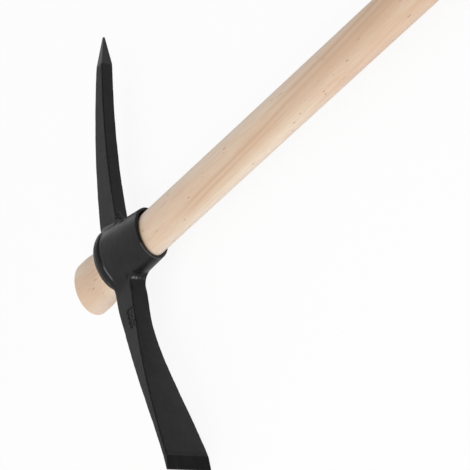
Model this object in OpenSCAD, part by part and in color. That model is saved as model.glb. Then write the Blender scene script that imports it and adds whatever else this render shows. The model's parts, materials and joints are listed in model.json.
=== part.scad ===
// Pick axe: a forged head with a point and a blade, dropped on a tapered oval beech handle.
// It lies on its side. +X runs along the handle to the grip, +Y along the head to the point,
// +Z is up, and the origin is on the floor under the middle of the whole tool.

/* [Handle] */
// Length of the handle from the poll's end to the grip's end
handle_length = 900; // [700:5:1000]
// Length of the poll that stands out behind the eye
poll_overhang = 49; // [30:1:60]
// How much longer the poll is than the eye's wide mouth, along the head
poll_flare_long = 6.5; // [4:0.5:14]
// How much wider the poll is than the eye's wide mouth, across the head
poll_flare_wide = 6.5; // [4:0.5:14]
// Length of the straight stretch at the poll's end, before it draws in to the eye
poll_straight = 16; // [11:1:28]
// Rounding of the poll's end edge
poll_round = 5; // [2:0.5:10]
// How much the oval shrinks along the head, from the eye to the grip
grip_taper = 6; // [2:0.5:14]
// Rounding of the grip's end edge
grip_round = 9; // [3:0.5:14]

/* [Eye] */
// Depth of the eye along the handle
eye_depth = 72; // [60:1:90]
// Bore along the head, at the poll's side
bore_poll_long = 54; // [53:0.5:60]
// Bore across the head, at the poll's side
bore_poll_wide = 34.5; // [33:0.5:40]
// Bore along the head, at the grip's side
bore_grip_long = 52.8; // [48:0.2:53]
// Bore across the head, at the grip's side
bore_grip_wide = 31.8; // [28:0.2:33]
// Wall at the poll's side
wall_poll = 7.75; // [7:0.25:11]
// Wall at the rim on the grip's side
wall_grip = 2.6; // [2.2:0.1:6]
// How far the eye's outside is set off its bore towards the point, at the poll's side
eye_shift_poll = 6; // [0:0.5:6.5]
// How far the eye's outside is set off its bore towards the point, at the rim
eye_shift_rim = 1; // [0:0.25:1.5]
// How far the bore drifts towards the point on its way to the rim
bore_drift = 0.9; // [0:0.1:1.2]
// Depth of the bevelled band round the poll's side
band_depth = 5; // [3:0.5:10]
// How far the bevelled band draws in at the poll's face
band_inset = 1.5; // [0.5:0.25:3]
// How far each arm's root stands out from the eye's end
root_reach = 9; // [5:0.5:16]
// Radius of the fillet between an arm's inner face and the eye
root_fillet = 14; // [6:0.5:18]

/* [Fit] */
// Clearance between the handle and the eye's wide mouth, where the taper seats
seat_gap = 0.3; // [0.2:0.05:0.6]
// Clearance along the head at the rim on the grip's side
rim_gap_long = 1.9; // [1.4:0.1:3]
// Clearance across the head at the rim on the grip's side
rim_gap_wide = 1.5; // [0.5:0.1:3]

/* [Point] */
// From the handle's middle to the tip
point_reach = 239; // [180:1:300]
// Depth of the point's root, along the handle
point_root_depth = 29.5; // [24:0.5:36]
// Depth where the tip's grinding starts
point_tip_depth = 11; // [6:0.5:14]
// Width of the point's root
point_root_width = 14.5; // [11:0.5:20]
// Width where the tip's grinding starts
point_tip_width = 13; // [8:0.5:16]
// Length of the ground four-sided tip
tip_length = 30; // [15:1:40]
// Blunt square left at the very tip
tip_flat = 1.8; // [0.6:0.1:3]
// How far the point leans towards the grip
point_lean = 33; // [10:1:45]
// How far the point also bows towards the grip
point_bow = 32; // [10:1:45]
// Reach of the blend between the eye's flank and the point's side, at the poll's face
point_cheek_poll = 8; // [4:0.5:20]
// Reach of the same blend at the point's inner face
point_cheek_inner = 5; // [3:0.5:10]

/* [Blade] */
// From the handle's middle to the cutting edge
blade_reach = 243; // [190:1:300]
// Depth of the blade's root, along the handle
blade_root_depth = 28; // [24:0.5:36]
// Depth of the blade behind its bevel
blade_edge_depth = 5; // [3.5:0.25:8]
// Width of the blade's root
blade_root_width = 19; // [15:0.5:24]
// Width of the cutting edge
blade_edge_width = 51; // [36:1:70]
// Length of the ground bevel behind the edge
bevel_length = 14; // [8:0.5:22]
// Thickness of the cutting edge
edge_thickness = 0.8; // [0.5:0.1:2]
// How far the blade's outer face is set in from the eye's poll face
blade_setback = 4; // [0:0.5:6]
// How far the blade sweeps towards the grip
blade_sweep = 43; // [20:1:60]
// Reach of the blend between the eye's flank and the blade's side, at the poll's face
blade_cheek_poll = 15; // [6:0.5:20]
// Reach of the same blend at the blade's inner face
blade_cheek_inner = 7; // [3:0.5:10]

/* [Smoothness] */
// Sides of each oval
oval_sides = 48; // [24:4:64]
// Stretches along each arm
arm_steps = 20; // [8:1:32]
// Stretches along each curve of the handle
handle_steps = 8; // [4:1:16]

/* [Hidden] */
// Every cut runs past what it cuts by this much
overrun = 1;
// How fast the handle's taper eases off towards the grip
taper_power = 2;
// How fast the blade thins out behind its root
thinning_power = 1.6;
// How much of the blade's sweep straightens out again towards its edge
recurve_share = 0.7;
// Where along the blade its flare starts
flare_start_share = 0.1;
// How steep the eye's flank gets before its blend with an arm carries it on straight
point_flank_slope = 1.2;
blade_flank_slope = 0.85;
// How far a cheek lies under the skin of the eye and the arm where it doesn't stand out from them
cheek_sink = 0.4;
// Where a cheek has run out under the skin, how steep its flank is and how much of its blend is left
run_out_slope = 6;
run_out_share = 0.05;
lacquer = "#343536";
beech = "#D9C3A8";

// The handle's oval where it seats in the eye, at the rim, at the poll and at the grip
seat = [bore_poll_long - 2 * seat_gap, bore_poll_wide - 2 * seat_gap];
neck = [bore_grip_long - 2 * rim_gap_long, bore_grip_wide - 2 * rim_gap_wide];
poll = [bore_poll_long + poll_flare_long, bore_poll_wide + poll_flare_wide];
grip = [neck.x - grip_taper, neck.y];
// The eye's outer oval at the poll's side and at the rim
eye_poll = [bore_poll_long + 2 * wall_poll, bore_poll_wide + 2 * wall_poll];
eye_rim = [bore_grip_long + 2 * wall_grip, bore_grip_wide + 2 * wall_grip];
band_taper = [2 * band_inset, 2 * band_inset];
// From the handle's middle to the start of each arm
root_y = eye_poll.x / 2 + root_reach;
handle_end = handle_length - poll_overhang;
// The lowest point of the tool sets the height of the handle's middle above the floor
axis_height = max(blade_edge_width, eye_poll.y, poll.y) / 2;

function smooth(t) = t * t * (3 - 2 * t);
function mix(a, b, t) = a + (b - a) * t;
// Each arm's outer face, at a share of the way from its root to its end
function point_face(t) = point_lean * t + point_bow * t * t;
function blade_face(t) =
    blade_setback + blade_sweep * mix(t * t, smooth(t), recurve_share);
function along(t, reach) = mix(root_y, reach, t);
// The eye's outside at a place along the handle: its oval, and its shift towards the point
function eye_size(x) =
    x < band_depth
        ? eye_poll - band_taper * (1 - x / band_depth)
        : mix(eye_poll, eye_rim, (x - band_depth) / (eye_depth - band_depth));
function eye_shift(x) =
    mix(eye_shift_poll, eye_shift_rim, max(0, (x - band_depth) / (eye_depth - band_depth)));
// From the handle's middle to the eye's end, on the point's side (1) or the blade's side (-1),
// where the eye's oval is as wide as the arm that meets it
function eye_end(x, way, width) =
    let (size = eye_size(x))
        size.x / 2 * sqrt(1 - pow(width / size.y, 2)) + way * eye_shift(x);

function oval(size) = [
    for (i = [0 : oval_sides - 1])
        let (turn = 360 * i / oval_sides)
            [size.x / 2 * cos(turn), size.y / 2 * sin(turn)]
];

// Stations of the handle, each with its place along the handle and its oval
function rounded_end(x, size, round, facing) = [
    for (i = [0 : handle_steps])
        let (turn = 90 * i / handle_steps, inset = round * (1 - sin(turn)))
            [x + facing * round * (1 - cos(turn)), [size.x - 2 * inset, size.y - 2 * inset]]
];
function flare() = [
    for (i = [0 : handle_steps - 1])
        let (t = i / handle_steps)
            [mix(poll_straight - poll_overhang, 0, t), mix(poll, seat, smooth(t))]
];
function shaft() = [
    for (i = [0 : handle_steps - 1])
        let (t = i / handle_steps)
            [mix(eye_depth, handle_end - grip_round, t), mix(grip, neck, pow(1 - t, taper_power))]
];
function reversed(list) = [for (i = [len(list) - 1 : -1 : 0]) list[i]];

// A closed skin through rings of points that follow each other along X.
// Its ends are closed in strips, each from one half of the ring across to the other.
module skin(rings) {
    last = len(rings) - 1;
    count = len(rings[0]);
    sides = [
        for (k = [0 : last - 1])
            for (i = [0 : count - 1])
                let (a = k * count + i, b = k * count + (i + 1) % count)
                    each [[a, b + count, b], [a, a + count, b + count]]
    ];
    near_end = [for (i = [0 : count / 2 - 2]) [i, i + 1, count - 2 - i, count - 1 - i]];
    far_end = [for (strip = near_end) [for (i = reversed(strip)) last * count + i]];
    polyhedron([for (r = rings) each r], concat(near_end, sides, far_end));
}

// A solid through ovals along X, each with its place, its size and any shift along Y
module loft(stations) {
    skin([
        for (s = stations)
            let (shift = is_undef(s[2]) ? 0 : s[2])
                [for (p = oval(s[1])) [s[0], p.x + shift, p.y]]
    ]);
}

// The solid that both a side view and a front view leave standing.
// Side views are drawn as [along the handle, along the arm], front views as [across, along the arm].
module side_view(points, width) {
    translate([0, 0, -width / 2])
        linear_extrude(width)
            polygon(points);
}
module front_view(points, depth) {
    translate([-overrun, 0, 0])
        rotate([90, 0, 90])
            linear_extrude(depth + 2 * overrun)
                polygon([for (p = points) [p.y, p.x]]);
}
function mirrored(points) = concat(points, [for (p = reversed(points)) [-p.x, p.y]]);

function point_depth(t) = mix(point_root_depth, point_tip_depth, t);
function blade_depth(t) = mix(blade_edge_depth, blade_root_depth, pow(1 - t, thinning_power));
function blade_width(t) =
    let (flared = max(0, (t - flare_start_share) / (1 - flare_start_share)))
        mix(blade_root_width, blade_edge_width, mix(smooth(flared), flared, flared));

// The concave fillet between an arm's inner face and the eye, from inside the arm outwards
module fillet_at_root(face, depth, width, way) {
    inner = face + depth;
    wall = eye_end(inner + root_fillet, way, width);
    side_view(concat(
        [[face + depth / 2, 0], [inner + root_fillet, 0]],
        [for (i = [0 : arm_steps])
            let (turn = 90 * i / arm_steps)
                [inner + root_fillet * (1 - sin(turn)), wall + root_fillet * (1 - cos(turn))]],
        [[face + depth / 2, wall + root_fillet]]
    ), width);
}

// Where the eye's flank gets as steep as a slope, as an angle round its oval
function flank_turn(size, slope) = atan(size.y / (size.x * slope));
// Half the eye's width at a place along the head, carried on straight from there
function flank(y, size, slope) =
    let (turn = flank_turn(size, slope), steep_y = size.x / 2 * cos(turn))
        y < steep_y
            ? size.y / 2 * sqrt(1 - pow(2 * y / size.x, 2))
            : size.y / 2 * sin(turn) - slope * (y - steep_y);
// The greater of two heights, with the corner between them filled over a reach
function blended(a, b, reach, fill_share) =
    max(a, b) + fill_share * pow(max(reach - abs(a - b), 0), 2) / (4 * reach);

// Half the outline of eye and arm together at a place along the handle, from the eye's middle outwards
function cheek_half(x, width, reach, slope, way, fill_share) =
    let (
        size = eye_size(x) - [2 * cheek_sink, 2 * cheek_sink],
        side = width / 2 - cheek_sink,
        near_reach = min(reach, size.y / 2 - side),
        turn = flank_turn(size, slope),
        steep = [size.x / 2 * cos(turn), size.y / 2 * sin(turn)],
        end_y = steep.x + (steep.y - side + near_reach) / slope
    ) [
        for (i = [0 : arm_steps])
            let (y = end_y * i / arm_steps)
                [x, y + way * eye_shift(x), blended(flank(y, size, slope), side, near_reach, fill_share)]
    ];

// The cheek that carries the eye's flank over into an arm's side, wider at the poll's face.
// Both its ends run out under the skin of the eye and the arm.
module cheek(face, depth, width, reach_poll, reach_inner, slope, way) {
    skin([
        for (i = [0 : handle_steps])
            let (
                t = i / handle_steps,
                x = mix(face + cheek_sink, face + depth - cheek_sink, t),
                reach = mix(reach_poll, reach_inner, t),
                half = t > 0 && t < 1
                    ? cheek_half(x, width, reach, slope, way, 1)
                    : cheek_half(x, width, reach, run_out_slope, way, run_out_share)
            )
                concat(reversed(half), [for (p = half) [p.x, p.y, -p.z]])
    ]);
}

module point_arm() {
    ground_share = 1 - tip_length / (point_reach - root_y);
    steps = [for (i = [0 : arm_steps]) ground_share * i / arm_steps];
    tip_x = point_face(1);
    outer = [for (t = steps) [point_face(t), along(t, point_reach)]];
    inner = [
        for (t = reversed(steps))
            [point_face(t) + point_depth(t / ground_share), along(t, point_reach)]
    ];
    half_front = [
        [point_root_width / 2, 0],
        [point_root_width / 2, root_y],
        [point_tip_width / 2, point_reach - tip_length],
        [tip_flat / 2, point_reach]
    ];
    intersection() {
        side_view(concat(
            [[0, 0]],
            outer,
            [[tip_x, point_reach], [tip_x + tip_flat, point_reach]],
            inner,
            [[point_root_depth, 0]]
        ), 2 * point_root_width);
        front_view(mirrored(half_front), point_root_depth + point_lean + point_bow);
    }
    fillet_at_root(0, point_root_depth, point_root_width, 1);
    cheek(
        0, point_root_depth, point_root_width,
        point_cheek_poll, point_cheek_inner, point_flank_slope, 1
    );
}

module blade_arm() {
    bevel_share = 1 - bevel_length / (blade_reach - root_y);
    all_steps = [for (i = [0 : arm_steps]) i / arm_steps];
    steps = [for (t = all_steps) bevel_share * t];
    outer = [for (t = all_steps) [blade_face(t), along(t, blade_reach)]];
    edge_x = blade_face(1) + edge_thickness;
    inner = [
        for (t = reversed(steps))
            [blade_face(t) + blade_depth(t / bevel_share), along(t, blade_reach)]
    ];
    half_front = concat(
        [[blade_root_width / 2, 0]],
        [for (t = all_steps) [blade_width(t) / 2, along(t, blade_reach)]]
    );
    mirror([0, 1, 0]) {
        intersection() {
            side_view(concat(
                [[blade_setback, 0]],
                outer,
                [[edge_x, blade_reach]],
                inner,
                [[blade_setback + blade_root_depth, 0]]
            ), 2 * blade_edge_width);
            front_view(mirrored(half_front), blade_setback + blade_root_depth + blade_sweep);
        }
        fillet_at_root(blade_setback, blade_root_depth, blade_root_width, -1);
        cheek(
            blade_setback, blade_root_depth, blade_root_width,
            blade_cheek_poll, blade_cheek_inner, blade_flank_slope, -1
        );
    }
}

// The eye's outside: a bevelled band at the poll's face, then a taper to the rim
module eye_outside() {
    loft([
        [0, eye_poll - band_taper, eye_shift_poll],
        [band_depth, eye_poll, eye_shift_poll],
        [eye_depth, eye_rim, eye_shift_rim]
    ]);
}

// The eye's tapered bore, carried on past both faces at the same slope
module bore() {
    mouth = [bore_poll_long, bore_poll_wide];
    rim = [bore_grip_long, bore_grip_wide];
    past_share = overrun / eye_depth;
    loft([
        [-overrun, mix(mouth, rim, -past_share), -bore_drift * past_share],
        [eye_depth + overrun, mix(mouth, rim, 1 + past_share), bore_drift * (1 + past_share)]
    ]);
}

// Puts what is drawn from the middle of the eye's poll face where the tool lies
module placed() {
    translate([poll_overhang - handle_length / 2, (blade_reach - point_reach) / 2, axis_height])
        children();
}

module handle() {
    color(beech)
        placed()
            loft(concat(
                rounded_end(-poll_overhang, poll, poll_round, 1),
                flare(),
                [[0, seat]],
                shaft(),
                reversed(rounded_end(handle_end, grip, grip_round, -1))
            ));
}

module pick_head() {
    color(lacquer)
        placed()
            difference() {
                union() {
                    eye_outside();
                    point_arm();
                    blade_arm();
                }
                bore();
            }
}

handle();
pick_head();
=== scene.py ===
"""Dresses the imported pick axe: a lacquered forged head, a beech handle and a white studio."""
import json
import math

import bpy
import numpy as np
from mathutils import Matrix, Vector

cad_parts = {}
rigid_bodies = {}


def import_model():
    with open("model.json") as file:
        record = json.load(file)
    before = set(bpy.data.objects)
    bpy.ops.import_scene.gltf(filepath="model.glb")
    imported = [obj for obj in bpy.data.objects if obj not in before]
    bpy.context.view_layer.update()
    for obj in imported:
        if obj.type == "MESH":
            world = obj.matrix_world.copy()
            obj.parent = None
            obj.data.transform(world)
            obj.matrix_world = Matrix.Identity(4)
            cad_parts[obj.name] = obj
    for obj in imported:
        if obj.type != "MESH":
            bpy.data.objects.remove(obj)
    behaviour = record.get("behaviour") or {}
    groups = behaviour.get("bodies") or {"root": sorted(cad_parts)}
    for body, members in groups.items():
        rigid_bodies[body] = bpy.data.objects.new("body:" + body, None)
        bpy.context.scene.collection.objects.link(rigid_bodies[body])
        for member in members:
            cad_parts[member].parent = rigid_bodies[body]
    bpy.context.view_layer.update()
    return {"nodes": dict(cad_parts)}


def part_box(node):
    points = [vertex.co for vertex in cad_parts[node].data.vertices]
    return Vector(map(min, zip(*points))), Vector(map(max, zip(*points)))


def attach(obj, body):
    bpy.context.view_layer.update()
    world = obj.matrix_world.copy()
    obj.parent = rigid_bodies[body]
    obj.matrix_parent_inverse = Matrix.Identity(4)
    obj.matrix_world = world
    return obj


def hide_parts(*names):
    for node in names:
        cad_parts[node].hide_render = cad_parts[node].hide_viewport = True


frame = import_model()

bl_info = {
    "name": "Pick Axe Finisher",
    "version": (1, 0, 0),
    "blender": (4, 5, 0),
    "location": "View3D > Sidebar > Pick Axe",
    "description": "Forges the head, shapes the handle and sets the studio of a pick axe",
    "category": "Object",
}

MM = 0.001
HANDLE_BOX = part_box("handle")
HEAD_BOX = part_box("pick_head")
# The handle's middle line, which the eye is drawn around
AXIS_Y = (HANDLE_BOX[0][1] + HANDLE_BOX[1][1]) / 2
AXIS_Z = (HANDLE_BOX[0][2] + HANDLE_BOX[1][2]) / 2
# The eye's poll face is the start of the head along the handle
EYE_X = HEAD_BOX[0][0]
# The head's two ends: the blade's edge and the point's tip
EDGE_Y = HEAD_BOX[0][1]
TIP_Y = HEAD_BOX[1][1]

# Points of the plain solid that lie closer than this are one point
MERGE_GAP = 0.01 * MM
# How much of the remesh grid the head fills
GRID_FILL = 0.93
# Edges of the head that turn by more than this are ridges
RIDGE_ANGLE = math.radians(30)
# Shading breaks at edges that turn by more than these
HEAD_SHADING = math.radians(28)
HANDLE_SHADING = math.radians(50)
# The forged skin runs out over this length in front of the ground faces
GROUND_BLEND = 4 * MM
# A place counts as ground from these shares on: for softening, and for the painted shade along the
# ridges
GROUND_SOFTEN_SHARE = 0.95
GROUND_RIDGE_SHARE = 0.9
# Length of the rubbed steel behind the blade's edge
EDGE_RUB = 0.3 * MM
# Places on the head, in millimetres from the handle's middle line: how far along the head the bore
# reaches and the arms start, and how far to the side the eye's flanks start
BORE_REACH = 40
ARM_START = 48
FLANK_SIDE = 12
# Middle of the worn blank mark, in millimetres from the eye's poll face and from the middle line
MARK_DEEP = 23
MARK_ALONG = -70
# How dark and dull the ridges' painted shade is, how dark the other painted dark marks are, how
# bright the blade's rubbed edge and the painted highlight on the rim's lip are, and how bright the
# painted highlight at the groove is
RIDGE_SHARE = 0.9
PAINTED_DARK_SHARE = 0.8
RUB_AND_HIGHLIGHT_SHARE = 0.25
GROOVE_HIGHLIGHT_SHARE = 0.45

# Rings in each quarter round of the handle's ends
END_STEPS = 10
# Growth layers cross the handle this way, and run out of it by this share of its length
ACROSS_GRAIN = (0.0, -0.8, -0.6)
GRAIN_RUN_OUT = 0.045

# The floor lies this far under the tool
FLOOR_GAP = 0.3 * MM
# How much of the floor's colour is plain white to the camera and in gloss
FLOOR_WHITE_SHARE = 0.9
# The light from all round is strongest this way, and is down to the room's shade where a direction
# has no more than this share of it
CEILING_WAY = Vector((-0.75, -0.25, 0.6))
CEILING_END_SHARE = -0.2
# The lamps point at the head
LAMP_AIM = Vector((-0.35, 0.0, 0.03))
# The photograph's view: the camera's place in metres and its angles in degrees
CAMERA_PLACE = Vector((1.0582, -0.8953, 1.1180))
CAMERA_AZIMUTH = -33.20
CAMERA_ELEVATION = 35.84
CAMERA_ROLL = -83.01
# Width of the camera's sensor in millimetres, and how far it sees in metres
CAMERA_SENSOR = 36
CAMERA_REACH = 50


def linear(code):
    """An sRGB hex colour as linear red, green, blue and alpha."""
    parts = [int(code[i:i + 2], 16) / 255 for i in (1, 3, 5)]
    return tuple(
        p / 12.92 if p <= 0.04045 else ((p + 0.055) / 1.055) ** 2.4 for p in parts) + (1.0,)


def length(name, description, value_mm, low_mm=0.0, high_mm=2000.0):
    """A length property in metres, from a size in millimetres."""
    return bpy.props.FloatProperty(
        name=name, description=description, default=value_mm * MM,
        min=low_mm * MM, max=high_mm * MM, unit="LENGTH", precision=5)


def colour(name, description, code):
    """A colour property from an sRGB hex value."""
    return bpy.props.FloatVectorProperty(
        name=name, description=description, size=4, subtype="COLOR",
        default=linear(code), min=0.0, max=1.0)


class PickHandleSettings(bpy.types.PropertyGroup):
    """Sizes and colours of the beech handle."""
    poll_straight: length("Poll straight", "Straight stretch at the poll's end", 16)
    poll_round: length("Poll rounding", "Rounding of the poll's end edge", 5)
    seat_long: length(
        "Seat length", "The handle along the head, where it seats in the eye", 53.4)
    seat_wide: length(
        "Seat width", "The handle across the head, where it seats in the eye", 33.9)
    eye_depth: length("Eye depth", "Length of the handle inside the eye", 72)
    neck_long: length("Neck length", "The handle along the head, at the eye's rim", 49)
    neck_wide: length("Neck width", "The handle across the head, at the eye's rim", 28.8)
    grip_long: length("Grip length", "The handle along the head, at the grip's end", 43)
    grip_wide: length("Grip width", "The handle across the head, at the grip's end", 28.8)
    grip_round: length("Grip rounding", "Rounding of the grip's end edge", 9)
    sides: bpy.props.IntProperty(
        name="Sides", description="Sides of the handle's oval", default=96, min=24, max=160)
    streak_place: length(
        "Streak place", "Where the warm streak lies among the growth layers", -19, -100, 100)
    pale: colour("Pale wood", "Early wood between the streaks", "#E0CCB4")
    streak: colour("Streaks", "Late wood in the streaks along the handle", "#C7A283")
    blush: colour("Blush", "Pinkish patches of steamed beech", "#DCBAA0")
    # Painted light: pale bands along two sides of the handle stand in for the brighter light on its
    # side towards the floor and the front lamp and on its opposite edge
    painted_side_light: colour("Painted side light", "Paler along two sides, as painted light", "#EDE1D5")
    fleck: colour("Flecks", "Short brown ray flecks", "#86593C")
    # Painted shade: this brown stands in for the shade in the gap where the handle meets the eye
    painted_gap_shade: colour("Rim gap shade", "Painted shade at both mouths of the eye and in the seat", "#5A3A22")


class PickHeadSettings(bpy.types.PropertyGroup):
    """Sizes and colours of the forged head."""
    fineness: bpy.props.IntProperty(
        name="Skin fineness",
        description="Halvings of the head's length that give the skin's faces their size",
        default=9, min=6, max=9)
    ridge_passes: bpy.props.IntProperty(
        name="Ridge softening", description="Rounds of smoothing that the forged edges get",
        default=1, min=0, max=20)
    tip_length: length("Tip length", "Length of the ground four-sided tip", 30)
    bevel_length: length(
        "Bevel length", "Length of the ground bevel behind the blade's edge", 14)
    lumps: length("Hammer marks", "Height of the broad unevenness of the forged skin", 0.5)
    groove: length("Band groove", "Depth of the groove beside the eye's band", 1.0)
    beads: length(
        "Root beads", "Height of the beads in the corner under the eye, at the blade's root", 1.7)
    crown: length("Blade crown", "Height of the slight crown along the blade's inner face", 0.7)
    pits: length("Mark depth", "Depth of the worn blank mark at the blade's root", 1.2)
    lacquer: colour("Lacquer", "Black lacquer, plain tone", "#151516")
    lacquer_thin: colour("Thin lacquer", "Lacquer where it lies thin over the scale", "#1E1E1F")
    # Painted shade: this near black darkens the ridges, standing in for the dark reflections along
    # their rounded edges, and the groove, the pit, the fold and the mark's border
    scale: colour(
        "Ridge and hollow shade", "Painted shade, dull and near black, along the ridges and in the hollows", "#070707")
    # Real bare steel at the blade's edge; the same colour is also laid on the rim's lip, the beads
    # and the groove as painted highlights
    bare_steel_and_highlight: colour("Bare steel and highlights", "Bare steel at the blade's edge, and painted highlights at the rim's lip, the beads and the groove", "#A0A2A5")


class PickStageSettings(bpy.types.PropertyGroup):
    """The studio: floor, lamps and camera."""
    floor_size: length("Floor size", "Side of the square floor", 12000, 1000, 40000)
    floor: colour("Floor", "Colour of the floor", "#F4F4F4")
    lens: bpy.props.FloatProperty(
        name="Lens", description="Focal length of the camera",
        default=153.2, min=20, max=400, unit="CAMERA")
    ceiling: bpy.props.FloatProperty(
        name="Ceiling light", description="Brightest part of the light from all round",
        default=1.08, min=0, max=4)
    shade: bpy.props.FloatProperty(
        name="Room shade", description="Darkest part of the light from all round",
        default=0.4, min=0, max=4)
    rim_power: bpy.props.FloatProperty(
        name="Rim lamp", description="Power of the small lamp behind the point",
        default=1.5, min=0, max=500, unit="POWER")
    front_power: bpy.props.FloatProperty(
        name="Front lamp", description="Power of the low soft lamp on the blade's side",
        default=6, min=0, max=500, unit="POWER")
    spark_power: bpy.props.FloatProperty(
        name="Spark lamp", description="Power of the small lamp in front of the eye's rim",
        default=6, min=0, max=500, unit="POWER")


def add_node(tree, kind, inputs=None, **settings):
    """Adds a node with its settings; an input takes a value or a link from another's socket."""
    node = tree.nodes.new(kind)
    for name, value in settings.items():
        setattr(node, name, value)
    for key, value in (inputs or {}).items():
        if isinstance(value, bpy.types.NodeSocket):
            tree.links.new(value, node.inputs[key])
        else:
            node.inputs[key].default_value = value
    return node


def per(size_mm):
    """Repeats in a metre of a pattern of this size in millimetres."""
    return 1 / (size_mm * MM)


def new_material(name):
    """An empty node material and its tree."""
    material = bpy.data.materials.new(name)
    material.use_nodes = True
    material.node_tree.nodes.clear()
    return material, material.node_tree


def beech_material(s):
    """Steamed beech, planed along the grain and sanded, with no varnish.

    The eye sees a pale pinkish tan with long soft streaks, fine lengthwise fibres, short brown ray
    flecks and almost no shine.
    """
    material, tree = new_material("beech_planed_and_sanded")
    place = add_node(tree, "ShaderNodeTexCoord").outputs["Object"]
    out = add_node(tree, "ShaderNodeSeparateXYZ", {0: place}).outputs["X"]

    def grain(long_mm, wide_mm, detail, roughness=0.5):
        """Soft noise drawn out along the handle: its length and its width in millimetres."""
        stretched = add_node(tree, "ShaderNodeVectorMath", {
            0: place, 1: (per(long_mm), per(wide_mm), per(wide_mm))}, operation="MULTIPLY")
        return add_node(tree, "ShaderNodeTexNoise", {
            "Vector": stretched.outputs["Vector"], "Scale": 1.0, "Detail": detail,
            "Roughness": roughness}).outputs["Fac"]

    def off(value, line):
        """How far a value lies from a line, on either side of it."""
        gap = add_node(tree, "ShaderNodeMath", {0: value, 1: line}, operation="SUBTRACT")
        return add_node(
            tree, "ShaderNodeMath", {0: gap.outputs["Value"]}, operation="ABSOLUTE").outputs["Value"]

    # Growth layers run out of the handle slowly, so they show as slanting bands
    across, layer = (
        add_node(tree, "ShaderNodeVectorMath", {
            0: place, 1: way}, operation="DOT_PRODUCT").outputs["Value"]
        for way in (ACROSS_GRAIN, (GRAIN_RUN_OUT,) + ACROSS_GRAIN[1:]))
    # They wander by up to 10 mm over about 260 mm
    layer = add_node(tree, "ShaderNodeMath", {
        0: grain(260, 40, 1.0), 1: 10 * MM, 2: layer}, operation="MULTIPLY_ADD").outputs["Value"]
    # Broad bands about 20 mm wide and fine ones about 4 mm wide
    broad, fine = (
        add_node(tree, "ShaderNodeTexNoise", {
            "W": layer, "Scale": per(wide_mm), "Detail": 1.0}, noise_dimensions="1D").outputs["Fac"]
        for wide_mm in (20, 4))
    # Fibres about 30 mm long; real ones are 0.1 mm wide, drawn at 0.9 mm so that they show
    fibres = grain(30, 0.9, 2.0, 0.6)
    # The warm streak fades in a little outside the eye
    streak_begins = (out, -320 * MM, -230 * MM)
    # Each coat has a colour, how much of it shows at most, and the values that bring it out, each
    # with where the colour starts to show and where it shows in full
    coats = (
        # Broad bands, and pinkish patches about 70 mm long
        (s.blush, 0.6, (broad, 0.38, 0.64)),
        (s.blush, 0.45, (grain(70, 16, 2.0), 0.45, 0.70)),
        # Fine bands, which come and go over about 110 mm
        (s.streak, 0.55, (fine, 0.45, 0.75), (grain(110, 14, 1.0), 0.45, 0.70)),
        # Painted light: pale bands along two sides of the handle, for the brighter light there
        (s.painted_side_light, 0.6, (across, -7 * MM, 5 * MM)),
        (s.painted_side_light, 0.5, (across, -26 * MM, -37 * MM)),
        # Darker towards the grip, as painted shade for the light falling off away from the lamps, and
        # darker at the poll
        (s.streak, 0.36, (out, -150 * MM, 60 * MM)),
        (s.streak, 0.3, (out, EYE_X, EYE_X - 20 * MM)),
        # The warm streak is a dark line 7 mm wide over a soft band
        (s.streak, 0.4, streak_begins, (off(layer, s.streak_place + 5 * MM), 10 * MM, 0.0)),
        (s.streak, 0.47, streak_begins, (off(layer, s.streak_place), 3.5 * MM, 0.0)),
        # A thinner one beside it shows only towards the grip
        (s.streak, 0.65, (out, -130 * MM, -40 * MM),
         (off(layer, s.streak_place - 6 * MM), 3 * MM, 0.0)),
        (s.streak, 0.32, (fibres, 0.35, 0.75)),
        # Painted shade for the gap between the handle and the eye: the seat in the eye is a little
        # darker, and brown for about 2 mm past its mouths
        (s.painted_gap_shade, 0.2, (off(out, EYE_X + s.eye_depth / 2), 44 * MM, 0.0)),
        (s.painted_gap_shade, 0.85, (off(out, EYE_X + 1 * MM), 3 * MM, 0.0)),
        (s.painted_gap_shade, 0.85, (off(out, EYE_X + s.eye_depth - 1 * MM), 3 * MM, 0.0)),
        # Ray flecks about 6 mm long and 1 mm wide
        (s.fleck, 0.55, (grain(10, 2.4, 1.0, 0.4), 0.725, 0.785)),
    )
    tone = tuple(s.pale)
    for over, most, *ranges in coats:
        amount = most
        for value, start, full in ranges:
            share = add_node(tree, "ShaderNodeMapRange", {
                "Value": value, "From Min": start, "From Max": full},
                interpolation_type="SMOOTHSTEP").outputs["Result"]
            amount = add_node(tree, "ShaderNodeMath", {
                0: amount, 1: share}, operation="MULTIPLY").outputs["Value"]
        tone = add_node(tree, "ShaderNodeMix", {
            0: amount, 6: tone, 7: tuple(over)}, data_type="RGBA").outputs[2]

    rough = add_node(tree, "ShaderNodeMapRange", {
        "Value": fibres, "To Min": 0.55, "To Max": 0.72}).outputs["Result"]
    bump = add_node(tree, "ShaderNodeBump", {
        "Height": fibres, "Strength": 0.35, "Distance": 0.05 * MM}).outputs["Normal"]
    shader = add_node(tree, "ShaderNodeBsdfPrincipled", {
        "Base Color": tone, "Roughness": rough, "Normal": bump, "IOR": 1.45})
    add_node(tree, "ShaderNodeOutputMaterial", {"Surface": shader.outputs["BSDF"]})
    return material


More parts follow.
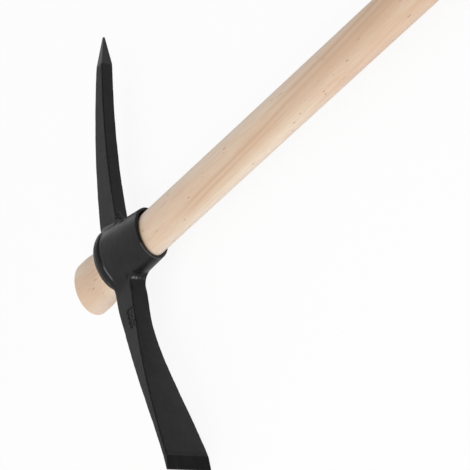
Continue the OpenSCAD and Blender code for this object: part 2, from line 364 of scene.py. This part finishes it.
def lacquer_material(s, name, ground, specular):
    """Black alkyd lacquer sprayed over forged steel, satin.

    The eye sees a near black skin with soft broad highlights, the scale and hammer marks of the
    forging under it, and on ground faces the fine straight scratches of the wheel.
    """
    material, tree = new_material(name)
    place = add_node(tree, "ShaderNodeTexCoord").outputs["Object"]
    # Lacquer runs thin over the scale in patches about 9 mm wide and 26 mm long
    runs = add_node(tree, "ShaderNodeVectorMath", {
        0: place, 1: (per(9), per(26), per(9))}, operation="MULTIPLY").outputs["Vector"]
    thin = add_node(tree, "ShaderNodeTexNoise", {
        "Vector": runs, "Scale": 1.0, "Detail": 4.0, "Roughness": 0.6}).outputs["Fac"]
    thin_share = add_node(tree, "ShaderNodeMapRange", {
        "Value": thin, "From Min": 0.35, "From Max": 0.7},
        interpolation_type="SMOOTHSTEP").outputs["Result"]
    tone = add_node(tree, "ShaderNodeMix", {
        0: thin_share, 6: tuple(s.lacquer), 7: tuple(s.lacquer_thin)}, data_type="RGBA").outputs[2]
    rough = add_node(tree, "ShaderNodeMapRange", {
        "Value": thin, "From Min": 0.3, "From Max": 0.75,
        "To Min": 0.36, "To Max": 0.48}).outputs["Result"]
    # Painted shade: a dull dark line along the ridges and in the hollows; the rubbed mark shows bare
    # steel at the blade's edge and painted highlights elsewhere
    ridge = add_node(tree, "ShaderNodeAttribute", attribute_name="ridge").outputs["Fac"]
    rubbed = add_node(tree, "ShaderNodeAttribute", attribute_name="rubbed").outputs["Fac"]
    for amount, over in ((ridge, s.scale), (rubbed, s.bare_steel_and_highlight)):
        tone = add_node(tree, "ShaderNodeMix", {
            0: amount, 6: tone, 7: tuple(over)}, data_type="RGBA").outputs[2]
    rough = add_node(tree, "ShaderNodeMix", {
        0: ridge, 2: rough, 3: 0.9}, data_type="FLOAT").outputs[0]
    if ground:
        # Wheel scratches; real ones are 0.1 mm apart, drawn 1.1 mm apart so that they show
        scratches = add_node(tree, "ShaderNodeMapping", {
            "Vector": place, "Rotation": (0.0, 0.0, math.radians(-35)),
            "Scale": (per(1.1), per(40), per(1.1))}).outputs["Vector"]
        skin = add_node(tree, "ShaderNodeTexNoise", {
            "Vector": scratches, "Scale": 1.0, "Detail": 1.0, "Roughness": 0.5}).outputs["Fac"]
        depth = 0.10 * MM
    else:
        # Forge scale about 4 mm across, with the lacquer's own orange peel about 1 mm across
        scale = add_node(tree, "ShaderNodeTexNoise", {
            "Vector": place, "Scale": per(4), "Detail": 3.0, "Roughness": 0.55}).outputs["Fac"]
        peel = add_node(tree, "ShaderNodeTexNoise", {
            "Vector": place, "Scale": per(1), "Detail": 0.0}).outputs["Fac"]
        skin = add_node(tree, "ShaderNodeMath", {
            0: peel, 1: 0.25, 2: scale}, operation="MULTIPLY_ADD").outputs["Value"]
        depth = 0.16 * MM
    bump = add_node(tree, "ShaderNodeBump", {
        "Height": skin, "Strength": 0.6, "Distance": depth}).outputs["Normal"]
    shader = add_node(tree, "ShaderNodeBsdfPrincipled", {
        "Base Color": tone, "Roughness": rough, "Normal": bump, "IOR": 1.5,
        "Specular IOR Level": specular})
    add_node(tree, "ShaderNodeOutputMaterial", {"Surface": shader.outputs["BSDF"]})
    return material


def pick_up(piece):
    """Makes a piece the only one that is selected, and the active one."""
    bpy.ops.object.select_all(action="DESELECT")
    piece.select_set(True)
    bpy.context.view_layer.objects.active = piece


def edit(piece):
    """Opens a piece in edit mode with nothing else selected."""
    pick_up(piece)
    bpy.ops.object.mode_set(mode="EDIT")
    bpy.ops.mesh.select_mode(type="VERT")


def close():
    """Back to object mode."""
    bpy.ops.object.mode_set(mode="OBJECT")


def points(piece):
    """Places of a piece's vertices, in metres."""
    places = np.empty(len(piece.data.vertices) * 3)
    piece.data.vertices.foreach_get("co", places)
    return places.reshape(-1, 3)


def select_points(piece, chosen):
    """Selects vertices by a yes or no for each, ready for edit mode."""
    mesh = piece.data
    mesh.vertices.foreach_set("select", np.asarray(chosen, dtype=bool))
    mesh.edges.foreach_set("select", np.zeros(len(mesh.edges), dtype=bool))
    mesh.polygons.foreach_set("select", np.zeros(len(mesh.polygons), dtype=bool))
    mesh.update()


def weigh_points(piece, name, weights):
    """Makes a vertex group from a weight for each vertex, in hundredths."""
    group = piece.vertex_groups.new(name=name)
    parts = np.round(np.clip(weights, 0, 1) * 100).astype(int)
    for part in range(1, 101):
        chosen = np.nonzero(parts == part)[0]
        if len(chosen):
            group.add(chosen.tolist(), part / 100, "REPLACE")


def mark_points(piece, name, values):
    """Keeps a value for each vertex under a name that a material can read."""
    kept = piece.data.attributes.new(name, "FLOAT", "POINT")
    kept.data.foreach_set("value", np.asarray(values, dtype=float))


def apply_modifier(piece, kind, **settings):
    """Adds a modifier with its settings and applies it."""
    pick_up(piece)
    modifier = piece.modifiers.new(kind.title(), kind)
    for name, value in settings.items():
        setattr(modifier, name, value)
    bpy.ops.object.modifier_apply(modifier=modifier.name)


def clouds(name, size_mm, contrast=1.0):
    """A soft noise for displacement, with lumps of this size."""
    texture = bpy.data.textures.new(name, "CLOUDS")
    texture.noise_scale = size_mm * MM
    texture.contrast = contrast
    return texture


def ramp(values, start, span):
    """From 0 at the start to 1 after this span, which is below 0 where it runs downwards."""
    return np.clip((values - start) / span, 0, 1)


def hill(values, middle, spread):
    """1 in the middle, falling away on both sides over this spread."""
    return np.exp(-((values - middle) / spread) ** 2)


def ground_share(places, s):
    """How much each place belongs to the ground tip or the ground bevel, from 0 to 1."""
    past_tip = places[:, 1] - (TIP_Y - s.tip_length)
    past_heel = (EDGE_Y + s.bevel_length) - places[:, 1]
    return np.clip(np.maximum(past_tip, past_heel) / GROUND_BLEND + 1, 0, 1)


class HeadSkin:
    """Where each vertex of the head lies, in millimetres, and which way it faces.

    Deep runs from the eye's poll face towards the grip, along runs from the handle's middle line
    towards the point, and side runs up from that line.
    """

    def __init__(self, head, s):
        places = points(head)
        self.deep = (places[:, 0] - EYE_X) / MM
        self.along = (places[:, 1] - AXIS_Y) / MM
        self.side = (places[:, 2] - AXIS_Z) / MM
        outward = np.empty(len(places) * 3)
        head.data.vertex_normals.foreach_get("vector", outward)
        self.outward = outward.reshape(-1, 3)
        self.ground = ground_share(places, s)
        self.on_edge = places[:, 1] < EDGE_Y + EDGE_RUB
        faces_middle = self.outward[:, 1] * self.along + self.outward[:, 2] * self.side < 0
        self.in_bore = (np.abs(self.along) < BORE_REACH) & faces_middle


class PICKAXE_OT_head(bpy.types.Operator):
    """Forges the head from the plain solid: softened edges, forging marks and ground faces"""
    bl_idname = "pickaxe.head"
    bl_label = "Pick Head"

    def execute(self, context):
        s = context.scene.pick_head
        head = self.blank()
        self.even_skin(head, s)
        sharp = self.soften(head, s)
        self.lay_out_marks(head, HeadSkin(head, s), sharp)
        self.shape_marks(head, s)
        self.paint(head, s)
        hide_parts("pick_head")
        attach(head, "head")
        return {"FINISHED"}

    def blank(self):
        """A merged copy of the plain solid."""
        head = bpy.data.objects.new("pick_head_forging", frame["nodes"]["pick_head"].data.copy())
        bpy.context.collection.objects.link(head)
        head.data.materials.clear()
        edit(head)
        bpy.ops.mesh.select_all(action="SELECT")
        bpy.ops.mesh.remove_doubles(threshold=MERGE_GAP)
        close()
        return head

    def even_skin(self, head, s):
        """One skin of small even faces over the whole head, which keeps the solid's edges."""
        apply_modifier(
            head, "REMESH", mode="SHARP", octree_depth=s.fineness, scale=GRID_FILL,
            use_remove_disconnected=False, use_smooth_shade=True)
        # Where folds of the skin touch, a small patch is taken out and filled again
        edit(head)
        bpy.ops.mesh.select_all(action="DESELECT")
        bpy.ops.mesh.select_non_manifold()
        bpy.ops.mesh.select_more()
        bpy.ops.mesh.delete(type="FACE")
        bpy.ops.mesh.select_all(action="SELECT")
        bpy.ops.mesh.fill_holes(sides=0)
        bpy.ops.mesh.normals_make_consistent(inside=False)
        close()

    def soften(self, head, s):
        """Rounds the forged edges a little, leaves the ground faces crisp and finds the ridges."""
        edit(head)
        bpy.ops.mesh.select_mode(type="EDGE")
        bpy.ops.mesh.select_all(action="DESELECT")
        bpy.ops.mesh.edges_select_sharp(sharpness=RIDGE_ANGLE)
        close()
        sharp = np.empty(len(head.data.vertices), dtype=bool)
        head.data.vertices.foreach_get("select", sharp)
        select_points(head, sharp & (ground_share(points(head), s) < GROUND_SOFTEN_SHARE))
        edit(head)
        bpy.ops.mesh.select_more()
        bpy.ops.mesh.vertices_smooth(factor=0.5, repeat=s.ridge_passes)
        close()
        return sharp

    def lay_out_marks(self, head, skin, sharp):
        """Weighs the skin for each forging mark, and keeps where its lacquer is dull or rubbed."""
        groove, pit = self.groove_marks(head, skin)
        beads, fold = self.root_marks(head, skin)
        border = self.blade_marks(head, skin)
        # The hammer marks stay off the ground faces and the bore
        weigh_points(head, "forged", (1 - skin.ground) * ~skin.in_bore)
        # Painted shade, dark and dull: along the arms' ridges, for their dark reflections, and in the
        # groove's upper run, the pit and the fold; the mark's border is painted dark too
        on_arms = (np.abs(skin.along) > ARM_START) & (skin.ground < GROUND_RIDGE_SHARE)
        upper_run = groove * ramp(skin.along, start=-5, span=4)
        in_painted_dark = np.maximum.reduce([upper_run, pit, fold, border])
        mark_points(head, "ridge", np.maximum(
            RIDGE_SHARE * (sharp & on_arms), PAINTED_DARK_SHARE * in_painted_dark))
        # Rubbed bright: bare steel at the blade's edge; painted highlights on the rim's lower lip,
        # the beads and at the groove, where light catches them
        rim_deep, lip_along = 68, -12
        on_lip = sharp & (skin.deep > rim_deep) & (skin.along < lip_along)
        groove_highlight = (hill(skin.deep, middle=12, spread=0.8) * (skin.side > FLANK_SIDE)
                  * ramp(skin.along, start=-23, span=3) * ramp(skin.along, start=-6, span=-3))
        mark_points(head, "rubbed", np.maximum.reduce([
            RUB_AND_HIGHLIGHT_SHARE * (on_lip | skin.on_edge), np.clip(beads, 0, 1) ** 2, GROOVE_HIGHLIGHT_SHARE * groove_highlight]))

    def groove_marks(self, head, skin):
        """The groove beside the eye's band, a crease under the eye and a pit at the point's root."""
        deep, along, side = skin.deep, skin.along, skin.side
        # The groove lies on the flanks only, and runs out towards the blade
        on_flank = (ramp(np.abs(side), start=FLANK_SIDE, span=4) * ramp(along, start=36, span=-6)
                    * ramp(along, start=-29, span=6))
        groove = hill(deep, middle=11.5, spread=1.7) * on_flank
        # The crease lies over the beads
        crease = (hill(deep, middle=40, spread=1.6) * hill(along, middle=-28, spread=2.5)
                  * ramp(np.abs(side), start=9, span=-3))
        pit_spread = 2.4
        pit = (hill(deep, middle=46, spread=pit_spread) * hill(along, middle=28, spread=pit_spread)
               * hill(side, middle=12.3, spread=pit_spread))
        weigh_points(head, "groove", groove + crease + pit)
        return groove, pit

    def root_marks(self, head, skin):
        """Smooth flanks and beads at the blade's root, and a lump at the point's root with a fold's
        painted shade under it.
        """
        deep, along, side = skin.deep, skin.along, skin.side
        # The blade's flanks run smoothly out of the eye
        flanks = (hill(along, middle=-36, spread=8) * ramp(np.abs(side), start=3, span=4)
                  * ramp(deep, start=40, span=-6))
        weigh_points(head, "root", flanks * ~skin.in_bore)
        # Beads about 3 mm wide, in a row across the corner between the blade and the eye: for each
        # its place on the side and its share of the height
        bead_spread = math.sqrt(2.6)
        row = (hill(deep, middle=35.5, spread=bead_spread)
               * hill(along, middle=-30, spread=bead_spread))
        beads = row * sum(
            height_share * hill(side, middle=bead_side, spread=bead_spread)
            for bead_side, height_share in ((6.8, 1), (3, 0.9), (-1.2, 0.5), (-5.8, 0.35)))
        # A lump about 6 mm wide, with a fold under it that is only a dark line of painted shade
        lump = 0.6 * hill(along, middle=45.7, spread=3) * hill(side, middle=3, spread=3) * (deep > 25)
        weigh_points(head, "beads", beads + lump)
        fold = (hill(along, middle=40.5, spread=1.2) * ramp(side, start=-1, span=3)
                * (deep > 28) * (deep < 36))
        return beads, fold

    def blade_marks(self, head, skin):
        """The crown of the blade's inner face, and the worn blank mark on its upper flank."""
        deep, along, side = skin.deep, skin.along, skin.side
        # The crown rises between the blade's two long edges, which part towards the blade's edge
        root_half, edge_half = 9.5, 25
        half_width = root_half + (edge_half - root_half) * ramp(along, start=-95, span=-135)
        crown = (np.clip(1 - (side / half_width) ** 2, 0, 1) * ramp(along, start=-50, span=-20)
                 * ramp(skin.outward[:, 0], start=0.7, span=0.1) * (1 - skin.ground))
        weigh_points(head, "crown", crown)
        # The mark is about 10 mm wide and 22 mm long, with a ragged outline
        half_ragged = 5 + 1.2 * np.sin(along * 1.1) + 0.8 * np.sin(along * 2.7)
        off_middle = np.abs(deep - MARK_DEEP)
        on_mark = (ramp(off_middle, start=half_ragged, span=-0.9)
                   * ramp(np.abs(along - MARK_ALONG), start=11, span=-0.9))
        on_upper = skin.outward[:, 2] > 0.8
        weigh_points(head, "mark", on_mark * on_upper)
        # Its border towards the poll and its border towards the eye are painted dark
        poll_border_along = -68
        poll_border = (hill(deep, middle=MARK_DEEP - half_ragged, spread=0.8)
                       * ramp(np.abs(along - poll_border_along), start=9, span=-2))
        eye_border = hill(along, middle=-59.5, spread=0.8) * ramp(off_middle, start=6, span=-2)
        return np.maximum(poll_border, eye_border) * on_upper

    def shape_marks(self, head, s):
        """Sinks and raises the forging marks where the skin was weighed for them."""
        apply_modifier(head, "SMOOTH", factor=0.5, iterations=12, vertex_group="root")
        apply_modifier(head, "DISPLACE", strength=-s.groove, mid_level=0.0, vertex_group="groove")
        apply_modifier(head, "SMOOTH", factor=0.5, iterations=2, vertex_group="groove")
        apply_modifier(head, "DISPLACE", strength=s.beads, mid_level=0.0, vertex_group="beads")
        apply_modifier(head, "DISPLACE", strength=s.crown, mid_level=0.0, vertex_group="crown")
        apply_modifier(
            head, "DISPLACE", strength=-s.pits, mid_level=0.0, vertex_group="mark",
            texture=clouds("worn_mark", 2.6, 2.5), texture_coords="LOCAL")
        apply_modifier(
            head, "DISPLACE", strength=s.lumps, mid_level=0.1, vertex_group="forged",
            texture=clouds("hammer_marks", 17), texture_coords="LOCAL")
        head.vertex_groups.clear()
        bpy.ops.object.shade_smooth_by_angle(angle=HEAD_SHADING)

    def paint(self, head, s):
        """Lacquer all over; the ground faces show the wheel's scratches."""
        for name, ground, specular in (
            ("black_lacquer_over_forged_steel", False, 0.2),
            ("black_lacquer_over_ground_tip", True, 0.37),
            ("worn_lacquer_over_ground_bevel", True, 0.08),
        ):
            head.data.materials.append(lacquer_material(s, name, ground, specular))
        tip_slot, bevel_slot = 1, 2
        for face in head.data.polygons:
            # The bevel is ground on the inner side of the blade, up to the edge's own end face
            on_bevel_side = face.normal.x > 0.5 or face.normal.y < -0.7
            if face.center.y > TIP_Y - s.tip_length:
                face.material_index = tip_slot
            elif face.center.y < EDGE_Y + s.bevel_length and on_bevel_side:
                face.material_index = bevel_slot


class PICKAXE_OT_handle(bpy.types.Operator):
    """Shapes the handle ring by ring: rounded poll, flare, seat in the eye, taper and grip"""
    bl_idname = "pickaxe.handle"
    bl_label = "Beech Handle"

    def execute(self, context):
        s = context.scene.pick_handle
        rings = self.rings(s)
        bpy.ops.object.select_all(action="DESELECT")
        start_x, start_size = rings[0]
        # A circle 1 m wide, so that an oval's two widths are its scale
        bpy.ops.mesh.primitive_circle_add(
            vertices=s.sides, radius=0.5, fill_type="NGON",
            location=(start_x, AXIS_Y, AXIS_Z), rotation=(0, math.radians(-90), 0))
        handle = context.object
        handle.name = "beech_handle"
        bpy.ops.object.transform_apply(location=True, rotation=True, scale=True)
        edit(handle)
        bpy.ops.mesh.select_all(action="SELECT")
        bpy.ops.transform.resize(
            value=(1, start_size[0], start_size[1]), center_override=(start_x, AXIS_Y, AXIS_Z))
        for (x, size), (next_x, next_size) in zip(rings, rings[1:]):
            bpy.ops.mesh.extrude_region_move(TRANSFORM_OT_translate={"value": (next_x - x, 0, 0)})
            bpy.ops.transform.resize(
                value=(1, next_size[0] / size[0], next_size[1] / size[1]),
                center_override=(next_x, AXIS_Y, AXIS_Z))
        bpy.ops.mesh.select_all(action="SELECT")
        bpy.ops.mesh.normals_make_consistent(inside=False)
        close()
        bpy.ops.object.shade_smooth_by_angle(angle=HANDLE_SHADING)
        handle.data.materials.append(beech_material(s))
        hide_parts("handle")
        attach(handle, "handle")
        return {"FINISHED"}

    def rings(self, s):
        """Places along X and ovals of the handle, from the poll's end to the grip's end."""
        low, high = HANDLE_BOX
        poll = (high[1] - low[1], high[2] - low[2])
        seat = (s.seat_long, s.seat_wide)
        neck = (s.neck_long, s.neck_wide)
        grip = (s.grip_long, s.grip_wide)
        steps = 2 * END_STEPS

        def between(one, other, share):
            """The oval at this share of the way from one oval to the other."""
            return tuple(a + (b - a) * share for a, b in zip(one, other))

        def rounded_end(x, size, radius, facing):
            """Rings of a quarter round, from the end face inwards."""
            found = []
            for i in range(END_STEPS + 1):
                turn = math.radians(90 * i / END_STEPS)
                inset = 2 * radius * (1 - math.sin(turn))
                ring_x = x + facing * radius * (1 - math.cos(turn))
                found.append((ring_x, (size[0] - inset, size[1] - inset)))
            return found

        rings = rounded_end(low[0], poll, s.poll_round, 1)
        # The flare eases in and out between the poll and the seat
        flare_x = low[0] + s.poll_straight
        for i in range(steps):
            t = i / steps
            eased = t * t * (3 - 2 * t)
            rings.append((flare_x + (EYE_X - flare_x) * t, between(poll, seat, eased)))
        rings.append((EYE_X, seat))
        # The taper is quick behind the eye's rim and slow towards the grip
        rim_x = EYE_X + s.eye_depth
        last_x = high[0] - s.grip_round
        for i in range(steps):
            t = i / steps
            rings.append((rim_x + (last_x - rim_x) * t, between(grip, neck, (1 - t) ** 2)))
        rings.extend(reversed(rounded_end(high[0], grip, s.grip_round, -1)))
        return rings


class PICKAXE_OT_stage(bpy.types.Operator):
    """Sets the white floor, the soft lamps and the camera"""
    bl_idname = "pickaxe.stage"
    bl_label = "Studio"

    def execute(self, context):
        s = context.scene.pick_stage
        self.floor(context, s)
        self.world(context, s)
        self.lamps(context, s)
        self.camera(context, s)
        context.scene.view_settings.view_transform = "Standard"
        return {"FINISHED"}

    def floor(self, context, s):
        """Matt white paper: it takes the shadow, and the camera sees it mostly as plain white."""
        bpy.ops.object.select_all(action="DESELECT")
        bpy.ops.mesh.primitive_plane_add(size=s.floor_size, location=(0, 0, -FLOOR_GAP))
        floor = context.object
        floor.name = "studio_floor"
        bpy.ops.object.transform_apply(location=True, rotation=True, scale=True)
        material, tree = new_material("white_paper")
        path = add_node(tree, "ShaderNodeLightPath")
        seen = add_node(tree, "ShaderNodeMath", {
            0: path.outputs["Is Camera Ray"], 1: path.outputs["Is Glossy Ray"]},
            operation="MAXIMUM")
        seen_share = add_node(tree, "ShaderNodeMath", {
            0: seen.outputs["Value"], 1: FLOOR_WHITE_SHARE}, operation="MULTIPLY")
        paper = add_node(tree, "ShaderNodeBsdfDiffuse", {"Color": tuple(s.floor)})
        white = add_node(tree, "ShaderNodeEmission", {"Color": (1, 1, 1, 1), "Strength": 1.0})
        mixed = add_node(tree, "ShaderNodeMixShader", {
            0: seen_share.outputs["Value"], 1: paper.outputs["BSDF"], 2: white.outputs["Emission"]})
        add_node(tree, "ShaderNodeOutputMaterial", {"Surface": mixed.outputs["Shader"]})
        floor.data.materials.append(material)

    def world(self, context, s):
        """A wide soft ceiling that is brightest behind the poll, over a shaded room."""
        world = bpy.data.worlds.new("white_studio")
        world.use_nodes = True
        tree = world.node_tree
        tree.nodes.clear()
        way = add_node(tree, "ShaderNodeTexCoord").outputs["Generated"]
        height = add_node(tree, "ShaderNodeVectorMath", {
            0: way, 1: CEILING_WAY.normalized()}, operation="DOT_PRODUCT").outputs["Value"]
        room = add_node(tree, "ShaderNodeMapRange", {
            "Value": height, "From Min": CEILING_END_SHARE, "From Max": 1.0,
            "To Min": s.shade, "To Max": s.ceiling},
            interpolation_type="SMOOTHSTEP").outputs["Result"]
        path = add_node(tree, "ShaderNodeLightPath")
        seen = add_node(tree, "ShaderNodeMath", {
            0: path.outputs["Is Camera Ray"], 1: path.outputs["Is Transmission Ray"]},
            operation="MAXIMUM")
        strength = add_node(tree, "ShaderNodeMix", {
            0: seen.outputs["Value"], 2: room, 3: 1.0}, data_type="FLOAT")
        background = add_node(tree, "ShaderNodeBackground", {
            "Color": (1, 1, 1, 1), "Strength": strength.outputs[0]})
        add_node(tree, "ShaderNodeOutputWorld", {"Surface": background.outputs["Background"]})
        context.scene.world = world

    def lamps(self, context, s):
        """Three round lamps, each with its place and width in metres and its power."""
        for name, place, width, power in (
            ("rim_lamp", Vector((-1.65, 1.72, 0.27)), 0.5, s.rim_power),
            ("front_lamp", Vector((-0.5, -1.6, 0.5)), 1.4, s.front_power),
            ("spark_lamp", Vector((0.45, -1.46, 1.13)), 0.3, s.spark_power),
        ):
            bpy.ops.object.select_all(action="DESELECT")
            bpy.ops.object.light_add(type="AREA", location=place)
            lamp = context.object
            lamp.name = name
            lamp.data.shape = "DISK"
            lamp.data.size = width
            lamp.data.energy = power
            lamp.rotation_euler = (place - LAMP_AIM).to_track_quat("Z", "Y").to_euler()

    def camera(self, context, s):
        """The photograph's view, from above the grip's side with the camera turned on its side."""
        bpy.ops.object.select_all(action="DESELECT")
        bpy.ops.object.camera_add(location=CAMERA_PLACE)
        camera = context.object
        camera.name = "photo_camera"
        camera.matrix_world = (
            Matrix.Translation(CAMERA_PLACE)
            @ Matrix.Rotation(math.radians(90 + CAMERA_AZIMUTH), 4, "Z")
            @ Matrix.Rotation(math.radians(90 - CAMERA_ELEVATION), 4, "X")
            @ Matrix.Rotation(math.radians(CAMERA_ROLL), 4, "Z"))
        camera.data.sensor_width = CAMERA_SENSOR
        camera.data.lens = s.lens
        camera.data.clip_end = CAMERA_REACH
        context.scene.camera = camera


class PICKAXE_PT_panel(bpy.types.Panel):
    """Lists the pieces and their settings"""
    bl_idname = "PICKAXE_PT_panel"
    bl_label = "Pick Axe"
    bl_space_type = "VIEW_3D"
    bl_region_type = "UI"
    bl_category = "Pick Axe"

    def draw(self, context):
        for operator, group in (
            (PICKAXE_OT_head, context.scene.pick_head),
            (PICKAXE_OT_handle, context.scene.pick_handle),
            (PICKAXE_OT_stage, context.scene.pick_stage),
        ):
            box = self.layout.box()
            box.operator(operator.bl_idname)
            for name in group.__annotations__:
                box.prop(group, name)


CLASSES = (
    PickHandleSettings, PickHeadSettings, PickStageSettings,
    PICKAXE_OT_head, PICKAXE_OT_handle, PICKAXE_OT_stage, PICKAXE_PT_panel,
)


def register():
    """Adds the classes, and the settings to the scene."""
    for cls in CLASSES:
        bpy.utils.register_class(cls)
    bpy.types.Scene.pick_handle = bpy.props.PointerProperty(type=PickHandleSettings)
    bpy.types.Scene.pick_head = bpy.props.PointerProperty(type=PickHeadSettings)
    bpy.types.Scene.pick_stage = bpy.props.PointerProperty(type=PickStageSettings)


def unregister():
    """Takes the settings and the classes away again."""
    del bpy.types.Scene.pick_stage
    del bpy.types.Scene.pick_head
    del bpy.types.Scene.pick_handle
    for cls in reversed(CLASSES):
        bpy.utils.unregister_class(cls)


def main():
    """Makes the pieces and the stage."""
    register()
    bpy.ops.pickaxe.head()
    bpy.ops.pickaxe.handle()
    bpy.ops.pickaxe.stage()


if __name__ == "__main__":
    main()
